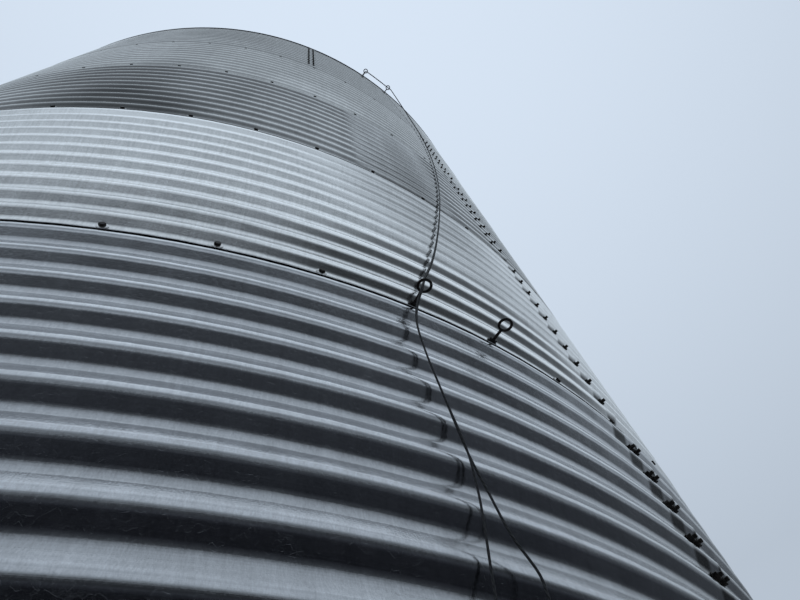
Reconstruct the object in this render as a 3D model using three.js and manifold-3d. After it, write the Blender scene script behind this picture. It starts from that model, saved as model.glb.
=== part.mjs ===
// A corrugated steel grain silo: a round bolted shell of six rings of curved sheets, a ribbed cone roof with a
// lidded filling hole at its peak, and the control line of the lid, led down the wall through eye bolts.
// Millimetres, +Z up. The origin is the centre of the base circle, at ground level. Azimuth is measured round
// the axis from -Y towards +X, so azimuth 0 is the front.
import * as THREE from "three";
import { mergeVertices } from "three/addons/utils/BufferGeometryUtils.js";
import Module from "manifold-3d";

const wasm = await Module();
wasm.setup();

// Driving dimensions of the wall
const BOLT_SPACING = 238.125; // 9 3/8 in between the bolts round the wall
const BOLTS_ROUND = 64;
const WALL_RADIUS = (BOLT_SPACING * BOLTS_ROUND) / (2 * Math.PI); // to the middle of the corrugation
const RING_COUNT = 6;
const CORRUGATIONS_PER_RING = 11;
const CORRUGATION_PITCH = 101.6;
const CORRUGATION_DEPTH = 12.7;
const SHEETS_PER_RING = 4;
const SHEET_BACK = 4; // metal behind the valleys of the corrugation
const FACETS_ROUND = 32;
const GAP = 0.3; // between pieces that touch

const RING_HEIGHT = CORRUGATIONS_PER_RING * CORRUGATION_PITCH;
const WALL_HEIGHT = RING_COUNT * RING_HEIGHT;
const BOLT_ANGLE = (2 * Math.PI) / BOLTS_ROUND;
const SHEET_ANGLE = (2 * Math.PI) / SHEETS_PER_RING;
const LOWER_SEAM = 4 * BOLT_ANGLE; // azimuth of the vertical seam of the rings below the top one
const CREST_RADIUS = WALL_RADIUS + CORRUGATION_DEPTH / 2;
const VALLEY_RADIUS = WALL_RADIUS - CORRUGATION_DEPTH / 2;

const SHEET_LIP = CORRUGATION_PITCH / 4; // the top ring's edge above its last bolt row

// Base ring: a flat steel ring that the bottom sheets stand on
const BASE_WIDTH = 75;
const BASE_THICKNESS = 6;

// Roof
const ROOF_SLOPE = Math.tan(THREE.MathUtils.degToRad(30));
const ROOF_THICKNESS = 8;
const ROOF_SECTORS = 8;
const PANELS_PER_SECTOR = 2;
const EAVE_LIP = 8; // how far the roof edge stands out past the middle of the wall
const COLLAR_RADIUS = 305;
const COLLAR_HEIGHT = 120; // above the roof
const COLLAR_THICKNESS = 6;
const RIB_WIDTH = 40;
const RIB_HEIGHT = 50;
const RIB_END = 45; // from a rib's end to the eave and to the collar

// Lid and its lever
const LID_RADIUS = 328;
const LID_RISE = 50;
const LID_RIM = 28;
const LID_THICKNESS = 6;
const LEVER_WIDTH = 40;
const LEVER_THICKNESS = 8;
const LEVER_START = 20;
const LEVER_END = 400;
const LEVER_BOLT = 2; // in bolt spaces round from the front

// Eye bolts
const EYE_SHANK_RADIUS = 4;
const EYE_WIRE_RADIUS = 3.5;
const EYE_RING_RADIUS = 16.5; // to the middle of the wire
const EYE_CENTRE = 53; // from the middle of the wall to the centre of the ring
const NUT_RADIUS = 9.8; // to its corners
const NUT_THICKNESS = 8;
const WASHER_RADIUS = 14;
const WASHER_THICKNESS = 3;
const SEAM_EYE_HEIGHT = BASE_THICKNESS + 2 * RING_HEIGHT;
const EAVE_EYE_HEIGHT = BASE_THICKNESS + WALL_HEIGHT;
const EYE_BOLTS = [
  { name: "seam_eye_bolt_left", bolt: 1, height: SEAM_EYE_HEIGHT },
  { name: "seam_eye_bolt_right", bolt: 2, height: SEAM_EYE_HEIGHT },
  { name: "eave_eye_bolt_left", bolt: 2, height: EAVE_EYE_HEIGHT },
  { name: "eave_eye_bolt_right", bolt: 3, height: EAVE_EYE_HEIGHT },
];

// The lid's control line: one line from the lever to the lower loop and back, its two strands side by side down
// to the parting. Each point is [bolt spaces round from the front, radius, height].
const LINE_DIAMETER = 4;
const LINE_STEPS = 98;
const STRAND_SPREAD = 2.2; // of each strand from the middle of the two, sideways and also in or out
const BOTH_STRANDS = [
  [2, 385, 8083.8],
  [2, 385, 8062],
  [2, 408, 8000],
  [2, 530, 7902],
  [2, 780, 7714],
  [2, 1150, 7489],
  [2, 1600, 7228.5],
  [2, 2050, 6968.7],
  [2, 2400, 6766.6],
  [2, 2440, 6744],
  [2.006, 2468, 6724],
  [2.012, 2477, 6709],
  [2.08, 2481, 6675],
  [2.5, 2484, 6604],
  [2.93, 2481, 6655],
  [3.014, 2479, 6700],
  [3.02, 2478.5, 6716],
  [3.045, 2478.5, 6725],
  [3.087, 2479, 6725],
  [3.118, 2480, 6711],
  [3.121, 2480.8, 6674],
  [3.16, 2478.7, 6534],
  [3.214, 2474.9, 6399],
  [3.302, 2468.9, 6287],
  [3.418, 2461.3, 6187],
  [3.521, 2454.4, 6045],
  [3.597, 2449, 5852],
  [3.645, 2445.8, 5634],
  [3.632, 2443.8, 5373],
  [3.481, 2442.5, 4969],
  [3.23, 2441.3, 4493],
  [2.894, 2440.5, 4009],
  [2.489, 2440.8, 3533],
  [2.002, 2444.9, 3055],
  [1.588, 2454.3, 2691],
  [1.281, 2466, 2452],
  [1.03, 2476.5, 2280],
  [0.985, 2475, 2238],
  [0.905, 2463, 2166],
  [0.848, 2456, 2083],
  [0.86, 2451, 1989],
  [0.93, 2447, 1822],
  [0.985, 2446, 1691],
];
const LOWER_LOOP = [
  [0.961, 2446, 1593],
  [0.924, 2446, 1529],
  [0.853, 2446, 1415],
  [0.81, 2447, 1301],
  [0.84, 2448, 1205],
  [0.93, 2449, 1160],
  [1.03, 2450, 1158],
  [1.13, 2452, 1195],
  [1.18, 2455, 1301],
  [1.177, 2457, 1424],
  [1.175, 2457, 1460],
  [1.092, 2452, 1522],
  [1.035, 2448, 1610],
];

const zinc = () => new THREE.MeshStandardMaterial({ color: 0x8f969d, roughness: 0.38, metalness: 0.85 });
const roofZinc = () => new THREE.MeshStandardMaterial({ color: 0x9aa1a6, roughness: 0.42, metalness: 0.85 });
const darkSteel = () => new THREE.MeshStandardMaterial({ color: 0x1d1c1b, roughness: 0.6, metalness: 0.5 });
const blackCord = () => new THREE.MeshStandardMaterial({ color: 0x26262a, roughness: 0.85, metalness: 0 });

const silo = new THREE.Group();

function place(name, geometry, material) {
  const mesh = new THREE.Mesh(geometry, material);
  mesh.name = name;
  silo.add(mesh);
  return mesh;
}

// A three.js geometry as a solid that can be joined and cut.
function solid(geometry) {
  const bare = geometry.index ? geometry.toNonIndexed() : geometry.clone();
  bare.deleteAttribute("normal");
  bare.deleteAttribute("uv");
  const merged = mergeVertices(bare, 1e-4);
  return new wasm.Manifold(
    new wasm.Mesh({
      numProp: 3,
      vertProperties: merged.attributes.position.array,
      triVerts: new Uint32Array(merged.index.array),
    }),
  );
}

function geometryOf(shape) {
  const mesh = shape.getMesh();
  const geometry = new THREE.BufferGeometry();
  geometry.setAttribute("position", new THREE.BufferAttribute(mesh.vertProperties, 3));
  geometry.setIndex(new THREE.BufferAttribute(mesh.triVerts, 1));
  geometry.computeVertexNormals();
  return geometry;
}

// A profile of [radius, height] points, turned about +Z. It closes on itself or starts and ends on the axis.
function revolve(profile, segments = FACETS_ROUND) {
  const points = profile.map(([radius, height]) => new THREE.Vector2(radius, height));
  return new THREE.LatheGeometry(points, segments).rotateX(Math.PI / 2);
}

function closed(profile) {
  return [...profile, profile[0]];
}

// A point at an azimuth, a radius and a height.
function at(azimuth, radius, height) {
  return new THREE.Vector3(radius * Math.sin(azimuth), -radius * Math.cos(azimuth), height);
}

// A tall wedge that cuts one sector from a ring, with half a gap at each side.
function wedge(start, end) {
  const inner = COLLAR_RADIUS / 2;
  const reach = 2 * WALL_RADIUS;
  const edge = (azimuth, side) => {
    const across = at(azimuth + Math.PI / 2, (side * GAP) / 2, 0);
    return [at(azimuth, inner, 0).add(across), at(azimuth, reach, 0).add(across)];
  };
  const [startIn, startOut] = edge(start, 1);
  const [endIn, endOut] = edge(end, -1);
  const middle = at((start + end) / 2, reach, 0);
  const outline = [startIn, startOut, middle, endOut, endIn];
  const shape = new THREE.Shape(outline.map((point) => new THREE.Vector2(point.x, point.y)));
  return solid(new THREE.ExtrudeGeometry(shape, { depth: 2 * WALL_HEIGHT, bevelEnabled: false }));
}

// The profile of one ring: valleys at both bolt rows, a crest between each two valleys, and a plain back.
// The top ring goes on past its last bolt row, to a plain edge at half a corrugation's depth.
function ringProfile(bottom, isTop) {
  const back = VALLEY_RADIUS - SHEET_BACK;
  const top = isTop ? bottom + RING_HEIGHT + SHEET_LIP : bottom + RING_HEIGHT - GAP / 2;
  const profile = [[VALLEY_RADIUS, bottom + GAP / 2]];
  for (let i = 1; i < 2 * CORRUGATIONS_PER_RING; i++) {
    profile.push([i % 2 ? CREST_RADIUS : VALLEY_RADIUS, bottom + (i * CORRUGATION_PITCH) / 2]);
  }
  if (isTop) profile.push([VALLEY_RADIUS, bottom + RING_HEIGHT]);
  profile.push([isTop ? WALL_RADIUS : VALLEY_RADIUS, top]);
  profile.push([back, top]);
  profile.push([back, bottom + GAP / 2]);
  return closed(profile);
}

function addWall() {
  for (let ring = 0; ring < RING_COUNT; ring++) {
    const isTop = ring === RING_COUNT - 1;
    const seam = isTop ? 0 : LOWER_SEAM;
    const shell = solid(revolve(ringProfile(ring * RING_HEIGHT + BASE_THICKNESS, isTop)));
    for (let sheet = 0; sheet < SHEETS_PER_RING; sheet++) {
      const start = seam + sheet * SHEET_ANGLE;
      const cut = shell.intersect(wedge(start, start + SHEET_ANGLE));
      place("wall_ring_" + (ring + 1) + "_sheet_" + "abcd"[sheet], geometryOf(cut), zinc());
    }
  }
}

function addBaseRing() {
  const inside = VALLEY_RADIUS - SHEET_BACK;
  const outside = inside + BASE_WIDTH;
  const profile = closed([
    [inside, 0],
    [outside, 0],
    [outside, BASE_THICKNESS],
    [inside, BASE_THICKNESS],
  ]);
  const ring = solid(revolve(profile));
  for (let quarter = 0; quarter < SHEETS_PER_RING; quarter++) {
    const start = quarter * SHEET_ANGLE;
    const cut = ring.intersect(wedge(start, start + SHEET_ANGLE));
    place("base_ring_" + "abcd"[quarter], geometryOf(cut), zinc());
  }
}

const ROOF_SEAT = BASE_THICKNESS + WALL_HEIGHT + SHEET_LIP + GAP;
const EAVE_RADIUS = WALL_RADIUS + EAVE_LIP;
const ROOF_SKIN = ROOF_THICKNESS / Math.cos(Math.atan(ROOF_SLOPE)); // measured upright
const COLLAR_OUTSIDE = COLLAR_RADIUS + COLLAR_THICKNESS / 2;

// Height of the roof's underside at a radius: it rests on the outer edge of the top ring.
function roofUnder(radius) {
  return ROOF_SEAT + (WALL_RADIUS - radius) * ROOF_SLOPE;
}

function roofTop(radius) {
  return roofUnder(radius) + ROOF_SKIN;
}

// A rib along a panel's left edge: a bar that runs up the slope, set to the right of its azimuth.
function rib(azimuth) {
  const outer = EAVE_RADIUS - RIB_END;
  const inner = COLLAR_OUTSIDE + RIB_END;
  const sunk = ROOF_SKIN / 2;
  const side = new THREE.Shape([
    new THREE.Vector2(inner, roofTop(inner) - sunk),
    new THREE.Vector2(outer, roofTop(outer) - sunk),
    new THREE.Vector2(outer, roofTop(outer) + RIB_HEIGHT / 2),
    new THREE.Vector2(outer - RIB_HEIGHT / 2, roofTop(outer - RIB_HEIGHT / 2) + RIB_HEIGHT),
    new THREE.Vector2(inner, roofTop(inner) + RIB_HEIGHT),
  ]);
  const bar = new THREE.ExtrudeGeometry(side, { depth: RIB_WIDTH, bevelEnabled: false });
  bar.rotateX(Math.PI / 2).translate(0, RIB_WIDTH + 2 * GAP, 0);
  bar.rotateZ(azimuth - Math.PI / 2);
  return solid(bar);
}

function addRoof() {
  const inner = COLLAR_OUTSIDE + GAP;
  const profile = closed([
    [inner, roofUnder(inner)],
    [EAVE_RADIUS, roofUnder(EAVE_RADIUS)],
    [EAVE_RADIUS, roofTop(EAVE_RADIUS)],
    [inner, roofTop(inner)],
  ]);
  const cone = solid(revolve(profile));
  const sectorAngle = (2 * Math.PI) / ROOF_SECTORS;
  for (let sector = 0; sector < ROOF_SECTORS; sector++) {
    const start = sector * sectorAngle;
    let panel = cone.intersect(wedge(start, start + sectorAngle));
    for (let i = 0; i < PANELS_PER_SECTOR; i++) {
      panel = panel.add(rib(start + (i * sectorAngle) / PANELS_PER_SECTOR));
    }
    place("roof_sector_" + (sector + 1), geometryOf(panel), roofZinc());
  }
}

const COLLAR_TOP = roofTop(COLLAR_OUTSIDE) + COLLAR_HEIGHT;
const LID_EDGE = COLLAR_TOP + GAP - ((LID_RADIUS - COLLAR_OUTSIDE) * LID_RISE) / LID_RADIUS;

function addPeak() {
  const inside = COLLAR_RADIUS - COLLAR_THICKNESS / 2;
  const bottom = roofUnder(COLLAR_OUTSIDE);
  const collar = closed([
    [inside, bottom],
    [COLLAR_OUTSIDE, bottom],
    [COLLAR_OUTSIDE, COLLAR_TOP],
    [inside, COLLAR_TOP],
  ]);
  place("peak_collar", revolve(collar), roofZinc());
  const lid = [
    [0, LID_EDGE + LID_RISE],
    [LID_RADIUS, LID_EDGE],
    [LID_RADIUS, LID_EDGE - LID_RIM],
    [LID_RADIUS + LID_THICKNESS, LID_EDGE - LID_RIM],
    [LID_RADIUS + LID_THICKNESS, LID_EDGE + LID_THICKNESS],
    [0, LID_EDGE + LID_RISE + LID_THICKNESS],
  ];
  place("peak_lid", revolve(lid), roofZinc());
  addLever();
}

// Height of the lever's underside at a radius: it lies along the lid's slope and stands out past its rim.
function leverUnder(radius) {
  const fall = LID_RISE / (LID_RADIUS + LID_THICKNESS);
  return LID_EDGE + LID_THICKNESS + GAP + (LID_RADIUS + LID_THICKNESS - radius) * fall;
}

function addLever() {
  const side = new THREE.Shape([
    new THREE.Vector2(LEVER_START, leverUnder(LEVER_START)),
    new THREE.Vector2(LEVER_END, leverUnder(LEVER_END)),
    new THREE.Vector2(LEVER_END, leverUnder(LEVER_END) + LEVER_THICKNESS),
    new THREE.Vector2(LEVER_START, leverUnder(LEVER_START) + LEVER_THICKNESS),
  ]);
  const bar = new THREE.ExtrudeGeometry(side, { depth: LEVER_WIDTH, bevelEnabled: false });
  bar.rotateX(Math.PI / 2).translate(0, LEVER_WIDTH / 2, 0);
  const lever = place("lid_lever", bar, darkSteel());
  lever.rotation.z = LEVER_BOLT * BOLT_ANGLE - Math.PI / 2;
}

// Radius of a facet of the wall at a bolt of a seam, which lies in a valley of the corrugation.
function seamFace(bolt) {
  const facetAngle = (2 * Math.PI) / FACETS_ROUND;
  const fromCorner = (bolt * BOLT_ANGLE) % facetAngle;
  const middle = VALLEY_RADIUS * Math.cos(facetAngle / 2);
  return middle / Math.cos(fromCorner - facetAngle / 2);
}

// An eye bolt in its own frame: the shank along +X, out from the wall, and the ring level.
function eyeBolt(face) {
  const valleySlope = CORRUGATION_DEPTH / (CORRUGATION_PITCH / 2);
  const seat = face + WASHER_RADIUS * valleySlope + GAP;
  const alongX = (radius, length, sides, start) => {
    const bar = new THREE.CylinderGeometry(radius, radius, length, sides).rotateZ(Math.PI / 2);
    return solid(bar.translate(start + length / 2, 0, 0));
  };
  const centre = WALL_RADIUS + EYE_CENTRE;
  const ring = new THREE.TorusGeometry(EYE_RING_RADIUS, EYE_WIRE_RADIUS, 6, 18).translate(centre, 0, 0);
  return solid(ring)
    .add(alongX(EYE_SHANK_RADIUS, centre - EYE_RING_RADIUS - seat, 8, seat))
    .add(alongX(NUT_RADIUS, NUT_THICKNESS + WASHER_THICKNESS, 6, seat))
    .add(alongX(WASHER_RADIUS, WASHER_THICKNESS, 16, seat));
}

function addEyeBolts() {
  for (const { name, bolt, height } of EYE_BOLTS) {
    const eye = place(name, geometryOf(eyeBolt(seamFace(bolt))), darkSteel());
    eye.position.z = height;
    eye.rotation.z = bolt * BOLT_ANGLE - Math.PI / 2;
  }
}

// A smooth curve that is cut at even steps of its points, and so more finely where they lie close.
class RoutedCurve extends THREE.CatmullRomCurve3 {
  getUtoTmapping(u) {
    return u;
  }
}

// A point of the left strand, side -1, which runs in front, or of the right one, side 1.
function strandPoint([bolt, radius, height], side) {
  const azimuth = bolt * BOLT_ANGLE;
  const sideways = at(azimuth + Math.PI / 2, side * STRAND_SPREAD, 0);
  return at(azimuth, radius - side * STRAND_SPREAD, height).add(sideways);
}

function addLine() {
  const down = BOTH_STRANDS.map((point) => strandPoint(point, -1));
  const loop = LOWER_LOOP.map((point) => strandPoint(point, 0));
  const up = BOTH_STRANDS.map((point) => strandPoint(point, 1)).reverse();
  const route = new RoutedCurve([...down, ...loop, ...up], false, "centripetal");
  const section = new THREE.Shape();
  section.absarc(0, 0, LINE_DIAMETER / 2, 0, 2 * Math.PI);
  const tube = { steps: LINE_STEPS, curveSegments: 4, bevelEnabled: false, extrudePath: route };
  place("lid_line", new THREE.ExtrudeGeometry(section, tube), blackCord());
}

addBaseRing();
addWall();
addRoof();
addPeak();
addEyeBolts();
addLine();

export default silo;
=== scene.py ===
"""Looks of the grain silo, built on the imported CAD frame. Metres, +Z up and -Y the front. Azimuth is measured
round the axis from -Y towards +X, and bolts are counted from azimuth 0."""

import math

import bpy
import numpy as np
from mathutils import Matrix, Vector


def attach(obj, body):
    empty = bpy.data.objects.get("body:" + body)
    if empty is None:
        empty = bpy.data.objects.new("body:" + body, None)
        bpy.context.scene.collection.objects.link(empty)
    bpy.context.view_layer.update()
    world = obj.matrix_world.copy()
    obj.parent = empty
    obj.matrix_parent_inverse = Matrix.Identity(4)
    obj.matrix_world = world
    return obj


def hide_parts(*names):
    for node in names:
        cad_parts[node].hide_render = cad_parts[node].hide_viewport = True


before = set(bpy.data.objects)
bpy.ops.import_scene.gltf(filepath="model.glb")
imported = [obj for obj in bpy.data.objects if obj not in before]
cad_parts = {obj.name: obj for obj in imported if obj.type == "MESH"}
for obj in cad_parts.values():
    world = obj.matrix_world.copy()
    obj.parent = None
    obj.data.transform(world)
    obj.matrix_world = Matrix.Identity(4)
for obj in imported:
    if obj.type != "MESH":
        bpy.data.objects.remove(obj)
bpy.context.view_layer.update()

# Sizes that part.mjs uses too, here in metres
BOLT_SPACING = 0.238125
BOLTS_ROUND = 64
BOLT_ANGLE = 2 * math.pi / BOLTS_ROUND
SHEETS_PER_RING = 4
SHEET_BOLTS = BOLTS_ROUND // SHEETS_PER_RING
RINGS = 6
CORRUGATIONS = 11
PITCH = 0.1016
DEPTH = 0.0127
WALL_RADIUS = BOLT_SPACING * BOLTS_ROUND / (2 * math.pi)  # to the middle of the corrugation
VALLEY_RADIUS = WALL_RADIUS - DEPTH / 2
SHEET_BACK = 0.004
RING_HEIGHT = CORRUGATIONS * PITCH
LAP = PITCH / 4
GAP = 0.0003
BASE_THICKNESS = 0.006
BASE_WIDTH = 0.075
WALL_TOP = BASE_THICKNESS + RINGS * RING_HEIGHT
ROOF_ANGLE = math.radians(30)
ROOF_SLOPE = math.tan(ROOF_ANGLE)
ROOF_THICKNESS = 0.008
ROOF_SKIN = ROOF_THICKNESS / math.cos(ROOF_ANGLE)  # measured upright
ROOF_SEAT = WALL_TOP + LAP + GAP
ROOF_SECTORS = 8
PANELS_PER_SECTOR = 2
EAVE_LIP = 0.008
EAVE_RADIUS = WALL_RADIUS + EAVE_LIP
RIB_END = 0.045
COLLAR_RADIUS = 0.305
COLLAR_THICKNESS = 0.006
COLLAR_OUTSIDE = COLLAR_RADIUS + COLLAR_THICKNESS / 2
COLLAR_HEIGHT = 0.120
COLLAR_TOP = ROOF_SEAT + (WALL_RADIUS - COLLAR_OUTSIDE) * ROOF_SLOPE + ROOF_SKIN + COLLAR_HEIGHT
LID_RADIUS = 0.328
LID_RISE = 0.050
LID_RIM = 0.028
LID_THICKNESS = 0.006
LID_OUTSIDE = LID_RADIUS + LID_THICKNESS
LID_EDGE = COLLAR_TOP + GAP - (LID_RADIUS - COLLAR_OUTSIDE) * LID_RISE / LID_RADIUS
LEVER_BOLT = 2
LEVER_WIDTH = 0.040
LEVER_THICKNESS = 0.008
EYE_CENTRE = 0.053
EYE_RING_RADIUS = 0.0165

# Sheets of the wall
BEND_RADIUS = 0.043  # of the corrugation's crests and valleys
FLANK_ANGLE = math.radians(19.371)  # of the plain flanks between them
BEND_HEIGHT = BEND_RADIUS * math.sin(FLANK_ANGLE)  # from a crest or valley to where its flank starts
SHEET_THICKNESS = 0.0011
LAYER = 0.0013  # from one layer of sheet to the next, where they lap
LOWER_SEAM = 4  # bolt of the vertical seam of the rings below the top one
SEAM_COLUMNS = (  # bolts of the rings' vertical seams, in bolt spaces from the seam
    (0.06, 0.17),
    (0.06, 0.17),
    (0.07,),
    (0.03, -0.23),
    (0.03, -0.23),
    (-0.02, -0.17),
)
SHEET_STARTS = -0.40  # a sheet goes on behind its neighbour by this many bolt spaces
SHEET_ENDS = (0.30, 0.30, 0.17, 0.13, 0.13, 0.08)  # and over the next one by this many, ring by ring


# Small helpers


def at(azimuth, radius, height):
    """The point at an azimuth, a radius and a height."""
    return Vector((radius * math.sin(azimuth), -radius * math.cos(azimuth), height))


def roof_top(radius):
    return ROOF_SEAT + (WALL_RADIUS - radius) * ROOF_SLOPE + ROOF_SKIN


def add_piece(
    name, vertices, faces, materials, uvs=None, face_materials=None, sharp=35.0, normals=None
):
    """A mesh object that rides on the silo. uvs are a pair for each vertex, normals one for each corner of a
    face."""
    mesh = bpy.data.meshes.new(name)
    mesh.from_pydata([tuple(v) for v in vertices], [], [tuple(f) for f in faces])
    for material in materials:
        mesh.materials.append(material)
    if uvs is not None:
        loops = np.empty(len(mesh.loops), dtype=np.int32)
        mesh.loops.foreach_get("vertex_index", loops)
        layer = mesh.uv_layers.new(name="UVMap")
        layer.data.foreach_set("uv", np.asarray(uvs, dtype=np.float32)[loops].ravel())
    if face_materials is not None:
        mesh.polygons.foreach_set("material_index", np.asarray(face_materials, dtype=np.int32))
    mesh.shade_smooth()
    mesh.set_sharp_from_angle(angle=math.radians(sharp))
    if normals is not None:
        mesh.normals_split_custom_set(normals)
    piece = bpy.data.objects.new(name, mesh)
    bpy.context.scene.collection.objects.link(piece)
    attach(piece, "root")
    return piece


def grid_faces(rows, columns, first=0, flip=False):
    """Quads between rows x columns vertices, numbered row by row from first."""
    row, column = np.meshgrid(np.arange(rows - 1), np.arange(columns - 1), indexing="ij")
    corner = (first + row * columns + column).ravel()
    quads = np.stack([corner, corner + 1, corner + 1 + columns, corner + columns], axis=1)
    return quads[:, ::-1] if flip else quads


def lattice(low, high, step):
    """Both ends and every whole step between them."""
    first = math.ceil(low / step + 0.2)
    last = math.floor(high / step - 0.2)
    return np.concatenate([[low], step * np.arange(first, last + 1), [high]])


def section_faces(size, count, closed=False, flip=False):
    """Faces between count sections of size vertices each. The ends are filled, or the last section meets the
    first where it is closed."""
    total = size * count
    faces = []
    for i in range(count if closed else count - 1):
        for k in range(size):
            a, b = i * size + k, i * size + (k + 1) % size
            c, d = (b + size) % total, (a + size) % total
            faces.append((a, d, c, b) if flip else (a, b, c, d))
    if not closed:
        ends = [tuple(range(size))[::-1], tuple(range(total - size, total))]
        faces += [end[::-1] for end in ends] if flip else ends
    return faces


def turned_about_axis(profile, start, end, steps):
    """Vertices, faces and UVs of a closed profile of (radius, height) points turned about the silo's axis."""
    whole = end - start > 2 * math.pi - 1e-6
    azimuths = [start + (end - start) * i / steps for i in range(steps if whole else steps + 1)]
    along = [0.0]
    for (r1, z1), (r2, z2) in zip(profile, profile[1:]):
        along.append(along[-1] + math.hypot(r2 - r1, z2 - z1))
    middle = (start + end) / 2
    vertices, uvs = [], []
    for azimuth in azimuths:
        for (radius, height), distance in zip(profile, along):
            vertices.append(at(azimuth, radius, height))
            uvs.append(((azimuth - middle) * radius + 7 * start, distance))
    return vertices, section_faces(len(profile), len(azimuths), closed=whole, flip=True), uvs


# Camera


CAMERA_PLACE = Vector((-0.2192, -2.998, 0.937))
CAMERA_YAW = 0.62265
CAMERA_PITCH = 1.06556
CAMERA_ROLL = -0.2663
LENS_MM = 27.852
SENSOR_MM = 36.0


def add_camera():
    data = bpy.data.cameras.new("camera")
    data.sensor_width = SENSOR_MM
    data.lens = LENS_MM
    camera = bpy.data.objects.new("camera", data)
    bpy.context.scene.collection.objects.link(camera)
    ahead = math.cos(CAMERA_PITCH)
    forward = Vector((math.sin(CAMERA_YAW) * ahead, math.cos(CAMERA_YAW) * ahead, math.sin(CAMERA_PITCH)))
    level = Vector((math.cos(CAMERA_YAW), -math.sin(CAMERA_YAW), 0))
    above = level.cross(forward)
    right = math.cos(CAMERA_ROLL) * level + math.sin(CAMERA_ROLL) * above
    up = math.cos(CAMERA_ROLL) * above - math.sin(CAMERA_ROLL) * level
    turn = Matrix((right, up, -forward)).transposed().to_4x4()
    camera.matrix_world = Matrix.Translation(CAMERA_PLACE) @ turn
    bpy.context.scene.camera = camera


# Materials


FOOT_SHADE_HEIGHTS = (1.35, 1.85)  # the wall's darker foot fades out between these
WHOLE_RING = 9.0  # metres to the edge of a gleam that is as strong from top to bottom
CORD_LAY = 0.012
CORD_STRANDS = 3


def node(tree, kind, *inputs, **settings):
    """A node with its first inputs set to values or linked to sockets. None leaves an input as it is."""
    made = tree.nodes.new(kind)
    for key, value in settings.items():
        setattr(made, key, value)
    for socket, value in zip(made.inputs, inputs):
        if isinstance(value, bpy.types.NodeSocket):
            tree.links.new(value, socket)
        elif value is not None:
            socket.default_value = value
    return made


def math_node(tree, operation, *inputs):
    return node(tree, "ShaderNodeMath", *inputs, operation=operation).outputs[0]


def summed(tree, *terms):
    total = terms[0]
    for term in terms[1:]:
        total = math_node(tree, "ADD", total, term)
    return total


def remap(tree, value, low, high, to_low, to_high):
    return node(tree, "ShaderNodeMapRange", value, low, high, to_low, to_high).outputs[0]


def either_way(tree, value, most):
    """A noise, stretched so that it goes from -most to most."""
    return remap(tree, value, 0.3, 0.7, -most, most)


def blended(tree, share, first, second):
    """The colour at a share of the way from the first to the second, each a colour or a socket."""
    mixed = node(tree, "ShaderNodeMix", share, data_type="RGBA")
    for socket, value in ((mixed.inputs[6], first), (mixed.inputs[7], second)):
        if isinstance(value, bpy.types.NodeSocket):
            tree.links.new(value, socket)
        else:
            socket.default_value = (*value, 1)
    return mixed.outputs[2]


def ramp(tree, value, stops):
    """Colours at stops from 0 to 1, each (position, colour), and evenly blended between them."""
    made = node(tree, "ShaderNodeValToRGB", value)
    elements = made.color_ramp.elements
    for element, (position, colour) in zip(elements, (stops[0], stops[-1])):
        element.position, element.color = position, (*colour, 1)
    for position, colour in stops[1:-1]:
        elements.new(position).color = (*colour, 1)
    return made.outputs[0]


def noise(tree, coordinates, scale, detail=3.0, roughness=0.55):
    """Noise from 0 to 1 on coordinates stretched by scale, three numbers."""
    placed = node(tree, "ShaderNodeMapping", coordinates, None, None, scale).outputs[0]
    made = node(tree, "ShaderNodeTexNoise", placed)
    made.inputs["Scale"].default_value = 1.0
    made.inputs["Detail"].default_value = detail
    made.inputs["Roughness"].default_value = roughness
    return made.outputs[0]


def new_material(name):
    material = bpy.data.materials.new(name)
    material.use_nodes = True
    tree = material.node_tree
    shader = tree.nodes["Principled BSDF"]
    return material, tree, shader


def link_tone(tree, shader, tone, shade):
    """The shader's colour is the tone, scaled by shade."""
    tinted = node(tree, "ShaderNodeVectorMath", tone, operation="SCALE")
    tree.links.new(shade, tinted.inputs["Scale"])
    tree.links.new(tinted.outputs[0], shader.inputs["Base Color"])


def link_bump(tree, shader, height, strength, distance):
    bump = node(tree, "ShaderNodeBump", strength)
    bump.inputs["Distance"].default_value = distance
    tree.links.new(height, bump.inputs["Height"])
    tree.links.new(bump.outputs[0], shader.inputs["Normal"])


def sheet_place(tree, uv, end):
    """Where a spot is on its sheet, in bolt spaces from the front, and its height. The sheets repeat every 16
    bolts, and each goes on over the next by end bolt spaces."""
    parts = node(tree, "ShaderNodeSeparateXYZ", uv).outputs
    bolts = math_node(tree, "DIVIDE", parts[0], BOLT_SPACING)
    last = LOWER_SEAM + end
    return math_node(tree, "WRAP", bolts, last, last - SHEET_BOLTS), parts[1]


def from_middle(tree, bolts, height, bolt, middle, wide, tall):
    """Square of the distance from the middle of an ellipse on the sheet, 1 at its edge."""
    across = math_node(tree, "DIVIDE", math_node(tree, "SUBTRACT", bolts, bolt), wide)
    above = math_node(tree, "DIVIDE", math_node(tree, "SUBTRACT", height, middle), tall)
    return summed(tree, math_node(tree, "POWER", across, 2), math_node(tree, "POWER", above, 2))


def soft_patches(tree, bolts, height, patches):
    """Brightness with soft patches, each (bolt, height, bolts to its edge, metres to its edge, change)."""
    shade = 1.0
    for bolt, middle, wide, tall, change in patches:
        away = from_middle(tree, bolts, height, bolt, middle, wide, tall)
        soft = node(
            tree, "ShaderNodeMapRange", away, 0.0, 1.0, change, 0.0, interpolation_type="SMOOTHSTEP"
        )
        shade = math_node(tree, "ADD", soft.outputs[0], shade)
    return shade


def roller_and_reflection_ramp(tree, part, lines):
    """Half brightness at part of the way from a valley to the next: the rollers' marks and painted reflections.
    lines are pairs of the two.
    """
    return ramp(tree, part, [(place, (grey, grey, grey)) for place, grey in lines])


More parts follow.
